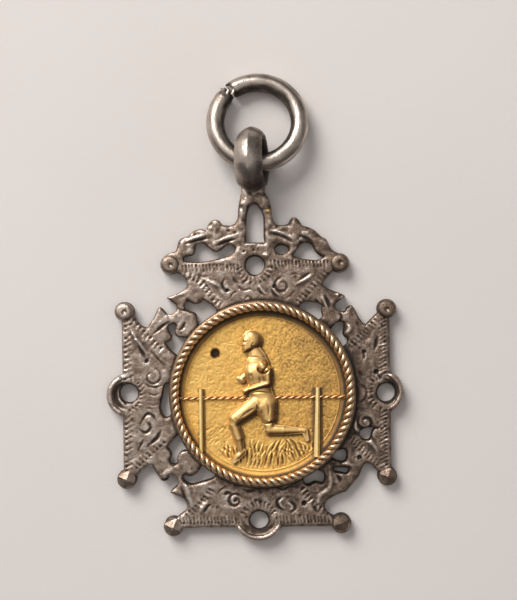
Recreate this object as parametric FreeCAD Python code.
"""Finisher's fob medal: a pierced silver cross with a gold roundel showing a runner at the tape.

The medal lies on its back. +Z is the front face's normal and +Y points to the suspension ring.
The origin is the centre of the cross on the plane of its back. All sizes are in millimetres.
"""
import FreeCAD, Part
import math
import os

V = FreeCAD.Vector
X_AXIS, Y_AXIS, Z_AXIS = V(1, 0, 0), V(0, 1, 0), V(0, 0, 1)

# ---- silver plate ----
PLATE_T = 1.3                       # thickness of the pierced plate
KNOB_R = 0.97                       # round corner of an arm
ARM_EDGE = 13.4                     # straight outer edge of the side arms, from the centre
ARM_LOW, ARM_HIGH = -7.7, 7.9       # ends of that edge
FOOT_EDGE = 13.25                   # straight outer edge of the bottom arm, from the centre
FOOT_LEFT, FOOT_RIGHT = -7.9, 7.7   # ends of that edge
EYE_R = 0.93                        # round eye near the end of each arm
NECK_LEFT, NECK_RIGHT = -1.3, 1.1
NECK_TOP = 21.5                     # the neck runs on until it meets the loop

KNOBS = [(-8.5, 13.15), (8.5, 13.1), (-13.15, 8.5), (13.15, 8.45),
         (-13.1, -8.3), (13.0, -8.3), (-8.5, -13.1), (8.35, -13.0)]
EYES = [(0.0, 12.95), (-12.8, 0.3), (13.0, 0.05), (0.1, -12.6)]
# centre and radius of the half-round lobe round the eye of the left, right and bottom arm
LOBES = {"left": (-12.82, 0.1, 2.22), "right": (12.6, 0.15, 2.15), "bottom": (0.05, -12.0, 2.65)}

# ---- corner studs and lobe rims, on the plate's face ----
STUD_R, STUD_H, STUD_CROWN = 0.78, 0.16, 0.2
DIMPLE_R, DIMPLE_FLOOR_R = 0.32, 0.05
STUD_SHOULDER, STUD_POINT = 0.8, 0.9    # top of the pitted kind and foot of the pointed kind, per radius
RIM_W, RIM_H, RIM_SWEEP, FOOT_RIM_SWEEP = 0.45, 0.28, 150.0, 130.0
RIM_INSET, RIM_SLOPE = 0.06, 0.1    # gap to the lobe's edge, run of each sloping side

# ---- gold roundel ----
ROUNDEL = V(0.6, 0.15, 0)           # it is soldered on a little right of the plate's centre
COLLET_R, COLLET_BORE, COLLET_H, COLLET_BEVEL = 9.3, 8.35, 1.2, 0.1
ROPE_R, ROPE_WIRE, ROPE_SINK = 8.7, 0.36, 0.12
BACKING_T = 0.2
FIELD_T, FIELD_TOP, FIELD_R = 0.35, 0.65, 7.75    # sheet, height of its face above the plate, flat part
COVE_OUT, COVE_UP = 0.42, 0.13      # middle of the cove's curve, from the edge of the flat part
VENT = (-4.1, 4.25, 0.42)           # small vent hole through the field

# ---- relief on the field ----
POST_H, TAPE_WIRE, TAPE_SINK, TAPE_Y = 0.4, 0.12, 0.03, -0.22
POSTS = {"post_left": [(-5.72, -5.95), (-5.38, -5.95), (-5.36, 0.75), (-5.7, 0.75)],
         "post_right": [(5.6, -6.15), (6.2, -6.15), (6.28, 0.75), (5.9, 0.75)]}
# a limb runs from one round end to the other: x, y, radius; x, y, radius; height above the field
RUNNER_LIMBS = [
    ((-0.5, 5.45, 0.95), (-0.45, 5.2, 0.92), 0.75),    # head
    ((-0.35, 4.6, 0.5), (0.0, 3.4, 0.62), 0.6),        # neck
    ((0.1, 2.75, 1.2), (0.35, 0.9, 1.1), 0.75),        # chest to waist
    ((0.35, 0.9, 1.1), (0.65, -0.2, 1.25), 0.75),      # waist to hips
    ((0.95, 2.85, 0.46), (1.15, 1.15, 0.33), 0.85),    # near upper arm
    ((1.15, 1.15, 0.33), (-1.15, 0.5, 0.3), 0.85),     # near forearm and fist
    ((-0.9, 2.6, 0.35), (-1.6, 1.5, 0.3), 0.5),        # far arm and fist
    ((-0.2, -0.5, 0.8), (-2.5, -2.6, 0.52), 0.75),     # front thigh
    ((-2.5, -2.6, 0.5), (-1.75, -5.3, 0.27), 0.7),     # front shin
    ((-1.65, -5.5, 0.3), (-2.2, -6.4, 0.22), 0.6),     # front foot
    ((1.0, -0.6, 0.85), (1.1, -3.0, 0.55), 0.65),      # rear thigh
    ((1.1, -3.1, 0.48), (4.4, -3.55, 0.22), 0.6),      # rear shin
    ((4.6, -3.45, 0.26), (4.9, -4.2, 0.2), 0.55),      # rear foot
]

# ---- suspension loop, standing on edge at the neck ----
LOOP_HALF_W, LOOP_HALF_T, LOOP_R = 1.5, 0.72, 3.15
LOOP_X, LOOP_Y = -0.15, 23.2
LOOP_LEAN = -9.0

# ---- jump ring, passing through the loop and resting on its far side ----
RING_R, RING_WIRE = 4.2, 0.93       # to the middle of the wire, and the wire's radius
RING_X, RING_Y, RING_Z = 0.45, 23.05, 2.55   # middle of the wire where it passes through the loop
RING_JOINT, RING_GAP = 130.0, 6.0   # direction of the open joint seen from the ring's centre, its width

# ---- outline of the plate: strokes between sharp corners, each a smooth curve through its points ----
NOTCH_UPPER_LEFT = [
    [KNOBS[0], (-7.9, 12.35)],
    [(-7.9, 12.35), (-7.35, 12.0), (-6.85, 11.35), (-6.85, 10.95), (-7.1, 10.65), (-8.0, 10.15),
     (-8.95, 9.85)],
    [(-8.95, 9.85), (-8.55, 9.55), (-8.0, 9.15)],
    [(-8.0, 9.15), (-8.0, 8.45), (-8.5, 8.2), (-8.95, 8.2)],
    [(-8.95, 8.2), (-9.25, 8.65), (-9.6, 8.88), (-9.9, 8.5), (-10.15, 7.95), (-10.5, 7.4), (-10.8, 6.9)],
    [(-10.8, 6.9), (-11.2, 6.95), (-12.1, 7.8), KNOBS[2]],
]
NOTCH_LOWER_LEFT = [
    [KNOBS[4], (-12.1, -7.9), (-11.5, -7.3), (-10.9, -7.0), (-10.5, -6.95)],
    [(-10.5, -6.95), (-10.3, -7.45), (-9.9, -8.1), (-9.55, -8.5), (-9.1, -8.45), (-8.9, -8.05)],
    [(-8.9, -8.05), (-8.4, -8.1), (-8.05, -8.4), (-8.05, -8.85), (-8.45, -9.3), (-8.8, -9.7)],
    [(-8.8, -9.7), (-8.0, -10.0), (-7.35, -10.4), (-7.1, -10.9), (-7.15, -11.35), (-7.6, -11.8),
     (-8.1, -12.2)],
    [(-8.1, -12.2), KNOBS[6]],
]
NOTCH_LOWER_RIGHT = [
    [KNOBS[7], (7.75, -12.3)],
    [(7.75, -12.3), (7.0, -11.9), (6.7, -11.3), (6.8, -10.8), (7.3, -10.4), (8.0, -10.05), (8.85, -9.8)],
    [(8.85, -9.8), (9.35, -9.2), (9.85, -8.65), (10.2, -8.15), (10.4, -7.6), (10.75, -7.05)],
    [(10.75, -7.05), (11.2, -7.05), (11.7, -7.45), (12.1, -7.9), KNOBS[5]],
]
NOTCH_UPPER_RIGHT = [
    [KNOBS[3], (12.15, 8.0), (11.6, 7.45), (11.0, 6.9)],
    [(11.0, 6.9), (10.6, 7.25), (10.2, 7.9), (9.95, 8.45), (9.55, 8.85), (9.15, 8.6), (9.0, 8.3)],
    [(9.0, 8.3), (8.45, 8.3), (8.05, 8.55), (8.1, 9.1)],
    [(8.1, 9.1), (8.6, 9.5), (9.0, 9.8)],
    [(9.0, 9.8), (8.0, 10.25), (7.1, 10.65), (6.7, 11.0)],
    [(6.7, 11.0), (7.3, 11.8), (7.8, 12.3)],
    [(7.8, 12.3), KNOBS[1]],
]
CROWN_RIGHT = [
    [(8.9, 13.95), (8.1, 14.2), (7.6, 14.6), (7.4, 15.1), (7.05, 15.6)],
    [(7.05, 15.6), (6.5, 15.95), (6.1, 16.35), (5.6, 16.65), (4.8, 16.9)],
    [(4.8, 16.9), (4.6, 17.25), (4.3, 17.6), (3.9, 17.75), (3.6, 17.5), (3.4, 17.1)],
    [(3.4, 17.1), (2.8, 16.95), (2.2, 17.05), (1.85, 17.6), (1.72, 18.6), (1.5, 19.5), (NECK_RIGHT, 20.25)],
    [(NECK_RIGHT, 20.25), (NECK_RIGHT, NECK_TOP)],
]
CROWN_LEFT = [
    [(NECK_LEFT, NECK_TOP), (NECK_LEFT, 20.25)],
    [(NECK_LEFT, 20.25), (-1.45, 19.5), (-1.62, 18.5), (-1.72, 17.6), (-2.1, 17.1), (-2.7, 17.0),
     (-3.3, 17.1)],
    [(-3.3, 17.1), (-3.55, 17.5), (-3.9, 17.6), (-4.3, 17.45), (-4.65, 17.05), (-4.85, 16.55)],
    [(-4.85, 16.55), (-5.6, 16.65), (-6.2, 16.4), (-6.6, 15.98)],
    [(-6.6, 15.98), (-7.1, 15.85), (-7.6, 15.5), (-7.75, 15.0), (-7.95, 14.45)],
    [(-7.95, 14.45), (-8.6, 14.25), (-9.1, 13.95)],
]

# ---- piercings, drawn the same way; the inner ones run a little way under the roundel ----
PIERCINGS = {
    "upper_left_wave": [
        [(-3.9, 8.1), (-4.0, 8.65), (-4.7, 9.25), (-5.3, 9.65)],
        [(-5.3, 9.65), (-5.75, 9.2), (-6.2, 9.2), (-6.8, 9.45), (-7.1, 9.1), (-7.05, 8.65)],
        [(-7.05, 8.65), (-6.5, 8.45), (-6.05, 8.25), (-5.85, 7.7), (-5.75, 7.2), (-5.3, 6.6)],
        [(-5.3, 6.6), (-3.9, 8.1)],
    ],
    "upper_left_nib": [
        [(-7.1, 4.5), (-6.9, 5.75)],
        [(-6.9, 5.75), (-7.5, 5.85), (-8.0, 6.0), (-8.1, 6.5), (-8.0, 7.0)],
        [(-8.0, 7.0), (-8.4, 7.2), (-8.8, 7.0), (-8.75, 6.5), (-8.5, 6.05), (-9.1, 5.3)],
        [(-9.1, 5.3), (-8.6, 4.6), (-7.8, 4.0)],
        [(-7.8, 4.0), (-7.1, 4.5)],
    ],
    "left_crescent": [
        [(-8.5, 1.2), (-9.2, 1.1), (-9.35, 0.4), (-9.6, -0.6), (-9.55, -1.7), (-9.25, -2.1), (-8.5, -1.6)],
        [(-8.5, -1.6), (-8.5, 1.2)],
    ],
    "lower_left_nib": [
        [(-7.7, -3.7), (-8.6, -4.6), (-9.05, -5.2)],
        [(-9.05, -5.2), (-8.75, -5.55), (-8.6, -6.0), (-8.8, -6.6), (-8.35, -6.9), (-8.0, -6.6)],
        [(-8.0, -6.6), (-7.95, -6.0), (-7.6, -5.6), (-6.9, -5.4), (-7.0, -4.5)],
        [(-7.0, -4.5), (-7.7, -3.7)],
    ],
    "lower_left_wave": [
        [(-5.3, -6.6), (-6.0, -7.65), (-6.6, -8.05), (-7.2, -7.9)],
        [(-7.2, -7.9), (-7.5, -8.25), (-7.0, -8.8), (-5.4, -8.6), (-4.6, -8.35), (-4.1, -7.5)],
        [(-4.1, -7.5), (-5.3, -6.6)],
    ],
    "upper_right_wave": [
        [(4.3, 8.2), (5.0, 9.25), (5.6, 9.25), (6.4, 9.05), (6.85, 8.75)],
        [(6.85, 8.75), (6.6, 8.3), (6.7, 7.8), (6.3, 7.4), (5.9, 6.9)],
        [(5.9, 6.9), (4.3, 8.2)],
    ],
    "upper_right_leaf": [
        [(7.2, 6.0), (7.85, 6.9), (8.3, 7.2), (8.8, 7.1), (8.75, 6.3), (9.1, 5.6)],
        [(9.1, 5.6), (9.2, 5.2), (8.7, 4.7), (8.3, 4.5)],
        [(8.3, 4.5), (7.2, 6.0)],
    ],
    "lower_right_wave": [
        [(4.7, -7.6), (5.4, -7.6), (6.6, -7.95), (6.7, -8.4), (6.55, -8.9), (5.8, -8.8), (5.0, -9.1),
         (4.6, -8.7)],
        [(4.6, -8.7), (4.7, -7.6)],
    ],
    "lower_right_nib": [
        [(7.5, -5.6), (8.0, -5.7), (8.7, -5.6), (8.95, -6.05), (8.75, -6.75), (8.1, -6.75), (7.3, -6.2)],
        [(7.3, -6.2), (7.5, -5.6)],
    ],
    "lower_right_slot": [
        [(7.7, -7.35), (8.4, -7.4), (9.15, -7.65), (9.0, -7.95), (8.3, -7.9), (7.75, -7.75), (7.7, -7.35)],
    ],
    "right_leaf": [
        [(10.3, -3.75), (11.0, -3.45), (12.2, -3.5)],
        [(12.2, -3.5), (11.5, -4.0), (11.2, -4.65), (10.7, -4.6), (10.3, -4.2), (10.3, -3.75)],
    ],
    "crown_left": [
        [(-7.1, 13.45), (-7.15, 13.8), (-6.7, 13.98), (-6.15, 14.15), (-6.0, 14.6), (-5.9, 15.1)],
        [(-5.9, 15.1), (-5.1, 15.2), (-4.5, 14.65), (-3.8, 14.4), (-3.3, 14.65), (-2.9, 15.0),
         (-1.95, 14.75)],
        [(-1.95, 14.75), (-2.15, 14.25), (-3.2, 13.8), (-4.4, 13.5), (-5.6, 13.38), (-7.1, 13.45)],
    ],
    "crown_right_oval": [
        [(2.0, 14.5), (2.35, 14.9), (2.9, 14.95), (3.4, 14.6), (3.1, 14.15), (2.5, 14.05), (2.0, 14.5)],
    ],
    "crown_right": [
        [(3.8, 13.95), (4.2, 14.4), (4.8, 15.1), (5.7, 15.0), (6.0, 14.45), (6.4, 13.98), (7.0, 13.75)],
        [(7.0, 13.75), (6.5, 13.48), (5.2, 13.5), (4.4, 13.65), (3.8, 13.95)],
    ],
    "crown_lancet": [
        [(-0.9, 15.25), (-0.8, 17.0), (-0.65, 18.4), (-0.35, 19.0), (0.05, 19.15), (0.5, 18.8), (0.85, 18.0),
         (0.92, 17.0), (1.0, 15.25)],
        [(1.0, 15.25), (-0.9, 15.25)],
    ],
}


def stroke(points):
    """A smooth edge through the points, or a straight one between two of them."""
    corners = [V(x, y, 0) for x, y in points]
    if len(corners) == 2:
        return Part.makeLine(*corners)
    curve = Part.BSplineCurve()
    curve.interpolate(corners)
    return curve.toShape()


def sheet(strokes, base, height):
    """Closed strokes, filled and raised from base by height."""
    edges = [stroke(points) for points in strokes]
    face = Part.Face(Part.Wire(Part.__sortEdges__(edges)))
    face.translate(V(0, 0, base))
    return face.extrude(V(0, 0, height))


def disc(x, y, radius, base, height):
    return Part.makeCylinder(radius, height, V(x, y, base))


def trimmed(shape, neighbours):
    """The shape less every neighbour, so that soldered pieces meet face to face."""
    for neighbour in neighbours:
        shape = shape.cut(neighbour)
    return shape


def spun(profile, centre):
    """A ring-shaped solid: a closed profile of (radius, z) points turned about a vertical axis."""
    corners = [centre + V(r, 0, z) for r, z in profile]
    face = Part.Face(Part.makePolygon(corners + corners[:1]))
    return face.revolve(centre, Z_AXIS, 360)


def make_loop():
    """Lens-section band turned about X, leaning a little to the left and standing on the back plane."""
    middle = V(LOOP_X, LOOP_Y, LOOP_R)
    section = Part.Ellipse(middle + V(0, LOOP_R - LOOP_HALF_T, 0), LOOP_HALF_W, LOOP_HALF_T)
    loop = Part.Face(Part.Wire(section.toShape())).revolve(middle, X_AXIS, 360)
    loop.rotate(middle, Y_AXIS, LOOP_LEAN)
    return loop


def make_plate(loop):
    """The cross with its crown and neck, cut from one plate."""
    strokes = (NOTCH_UPPER_LEFT + NOTCH_LOWER_LEFT + NOTCH_LOWER_RIGHT + NOTCH_UPPER_RIGHT
               + CROWN_RIGHT + CROWN_LEFT)
    strokes += [
        [KNOBS[2], (-ARM_EDGE, ARM_HIGH)],
        [(-ARM_EDGE, ARM_HIGH), (-ARM_EDGE, ARM_LOW)],
        [(-ARM_EDGE, ARM_LOW), KNOBS[4]],
        [KNOBS[6], (FOOT_LEFT, -FOOT_EDGE)],
        [(FOOT_LEFT, -FOOT_EDGE), (FOOT_RIGHT, -FOOT_EDGE)],
        [(FOOT_RIGHT, -FOOT_EDGE), KNOBS[7]],
        [KNOBS[5], (ARM_EDGE, ARM_LOW)],
        [(ARM_EDGE, ARM_LOW), (ARM_EDGE, ARM_HIGH)],
        [(ARM_EDGE, ARM_HIGH), KNOBS[3]],
        [KNOBS[1], CROWN_RIGHT[0][0]],
        [(NECK_RIGHT, NECK_TOP), (NECK_LEFT, NECK_TOP)],
        [CROWN_LEFT[-1][-1], KNOBS[0]],
    ]
    plate = sheet(strokes, 0, PLATE_T)
    rounds = [disc(x, y, KNOB_R, 0, PLATE_T) for x, y in KNOBS]
    rounds += [disc(x, y, radius, 0, PLATE_T) for x, y, radius in LOBES.values()]
    plate = plate.fuse(rounds).removeSplitter()
    openings = [disc(x, y, EYE_R, -1, PLATE_T + 2) for x, y in EYES]
    openings += [sheet(strokes, -1, PLATE_T + 2) for strokes in PIERCINGS.values()]
    return plate.cut(openings).cut(loop)


def make_stud(x, y, pitted):
    """A low soldered grain: the pitted kind has a dimple, the other a shallow four-sided point."""
    base = disc(x, y, STUD_R, PLATE_T, STUD_H)
    top = PLATE_T + STUD_H
    if pitted:
        crown = Part.makeCone(STUD_R, STUD_R * STUD_SHOULDER, STUD_CROWN, V(x, y, top))
        dimple = Part.makeCone(DIMPLE_FLOOR_R, DIMPLE_R, STUD_CROWN, V(x, y, top))
        return base.fuse(crown).cut(dimple).removeSplitter()
    reach = STUD_R * STUD_POINT
    corners = [V(x + reach, y, top), V(x, y + reach, top), V(x - reach, y, top), V(x, y - reach, top)]
    tip = V(x, y, top + STUD_CROWN)
    faces = [Part.Face(Part.makePolygon([corners[i - 1], corners[i], tip, corners[i - 1]])) for i in range(4)]
    faces.append(Part.Face(Part.makePolygon(corners + corners[:1])))
    return base.fuse(Part.Solid(Part.Shell(faces))).removeSplitter()


def make_rim(side):
    """A raised half-round rim that follows a lobe's outer edge."""
    x, y, radius = LOBES[side]
    outward = {"left": 180, "right": 0, "bottom": -90}[side]
    sweep = FOOT_RIM_SWEEP if side == "bottom" else RIM_SWEEP
    inner, outer, top = x + radius - RIM_W, x + radius - RIM_INSET, PLATE_T + RIM_H
    section = Part.Face(Part.makePolygon([
        V(inner, y, PLATE_T), V(outer, y, PLATE_T), V(outer - RIM_SLOPE, y, top),
        V(inner + RIM_SLOPE, y, top), V(inner, y, PLATE_T)]))
    section.rotate(V(x, y, 0), Z_AXIS, outward - sweep / 2)
    return section.revolve(V(x, y, 0), Z_AXIS, sweep)


def make_collet():
    """The roundel's standing wall, with a flat land for the rope."""
    low, high = PLATE_T, PLATE_T + COLLET_H
    return spun([(COLLET_BORE, low), (COLLET_R, low), (COLLET_R, high - COLLET_BEVEL),
                 (COLLET_R - COLLET_BEVEL, high), (COLLET_BORE, high)], ROUNDEL)


def make_rope(collet):
    height = PLATE_T + COLLET_H + ROPE_WIRE - ROPE_SINK
    rope = Part.makeTorus(ROPE_R, ROPE_WIRE, ROUNDEL + V(0, 0, height), Z_AXIS)
    return rope.cut(collet)


def make_field():
    """The struck gold dish: a flat field whose border curves up to the rope, with a small vent."""
    face_z = PLATE_T + FIELD_TOP
    rim_z = PLATE_T + COLLET_H
    corners = [ROUNDEL + V(r, 0, z) for r, z in (
        (0, face_z), (FIELD_R, face_z), (COLLET_BORE, rim_z), (COLLET_BORE, face_z - FIELD_T),
        (0, face_z - FIELD_T))]
    hollow = ROUNDEL + V(FIELD_R + COVE_OUT, 0, face_z + COVE_UP)
    cove = Part.Arc(corners[1], hollow, corners[2]).toShape()
    edges = [Part.makeLine(corners[0], corners[1]), cove]
    edges += [Part.makeLine(corners[i], corners[(i + 1) % 5]) for i in (2, 3, 4)]
    dish = Part.Face(Part.Wire(edges)).revolve(ROUNDEL, Z_AXIS, 360)
    x, y, radius = VENT
    return dish.cut(disc(x, y, radius, face_z - 1, 2))


def make_limb(start, end, height):
    """A flat relief limb with round ends, raised from the field."""
    base = PLATE_T + FIELD_TOP
    (ax, ay, ar), (bx, by, br) = start, end
    along = math.atan2(by - ay, bx - ax)
    open_angle = math.acos((ar - br) / math.hypot(bx - ax, by - ay))
    sides = [along + open_angle, along - open_angle]
    a_up, a_down = [V(ax + ar * math.cos(s), ay + ar * math.sin(s), base) for s in sides]
    b_up, b_down = [V(bx + br * math.cos(s), by + br * math.sin(s), base) for s in sides]
    strip = Part.Face(Part.makePolygon([a_up, a_down, b_down, b_up, a_up])).extrude(V(0, 0, height))
    return strip.fuse([disc(ax, ay, ar, base, height), disc(bx, by, br, base, height)])


def make_runner():
    limbs = [make_limb(*limb) for limb in RUNNER_LIMBS]
    return limbs[0].fuse(limbs[1:]).removeSplitter()


def make_post(name, border):
    """A post of the finishing line, whose foot runs out in the roundel's border."""
    corners = [V(x, y, PLATE_T + FIELD_TOP) for x, y in POSTS[name]]
    post = Part.Face(Part.makePolygon(corners + corners[:1])).extrude(V(0, 0, POST_H))
    return trimmed(post, border)


def make_tape(neighbours):
    """Twisted finishing tape from cove to cove, interrupted by the posts and the runner."""
    reach = COLLET_BORE
    start = V(ROUNDEL.x - reach, TAPE_Y, PLATE_T + FIELD_TOP + TAPE_WIRE - TAPE_SINK)
    return trimmed(Part.makeCylinder(TAPE_WIRE, 2 * reach, start, X_AXIS), neighbours)


def make_ring():
    """An open ring of round wire, hanging through the loop with its far side on the table."""
    middle = V(RING_X, RING_Y + RING_R, RING_Z)
    section = Part.Face(Part.Wire(Part.makeCircle(RING_WIRE, middle + V(RING_R, 0, 0), Y_AXIS)))
    section.rotate(middle, Z_AXIS, RING_JOINT + RING_GAP / 2)
    ring = section.revolve(middle, Z_AXIS, 360 - RING_GAP)
    tilt = math.degrees(math.asin((RING_Z - RING_WIRE) / (2 * RING_R)))
    ring.rotate(V(RING_X, RING_Y, RING_Z), X_AXIS, -tilt)
    return ring


def build():
    loop = make_loop()
    parts = {"cross_plate": make_plate(loop), "suspension_loop": loop, "jump_ring": make_ring()}
    for number, (x, y) in enumerate(KNOBS, 1):
        parts[f"corner_stud_{number}"] = make_stud(x, y, pitted=y > 0)
    for side in LOBES:
        parts[f"{side}_lobe_rim"] = make_rim(side)
    parts["roundel_collet"] = make_collet()
    parts["rope_border"] = make_rope(parts["roundel_collet"])
    parts["backing_disc"] = disc(ROUNDEL.x, ROUNDEL.y, COLLET_BORE, PLATE_T, BACKING_T)
    parts["field_disc"] = make_field()
    parts["runner_figure"] = make_runner()
    border = [parts["field_disc"], parts["roundel_collet"]]
    for name in POSTS:
        parts[name] = make_post(name, border)
    in_the_way = [parts["runner_figure"], parts["post_left"], parts["post_right"]]
    parts["finish_tape"] = make_tape(in_the_way + border)
    return parts


os.makedirs("parts", exist_ok=True)
for node, shape in build().items():
    shape.exportStep(f"parts/{node}.step")
    print(f"{node:18s} solids {len(shape.Solids)}  volume {shape.Volume:8.3f} mm3  valid {shape.isValid()}")
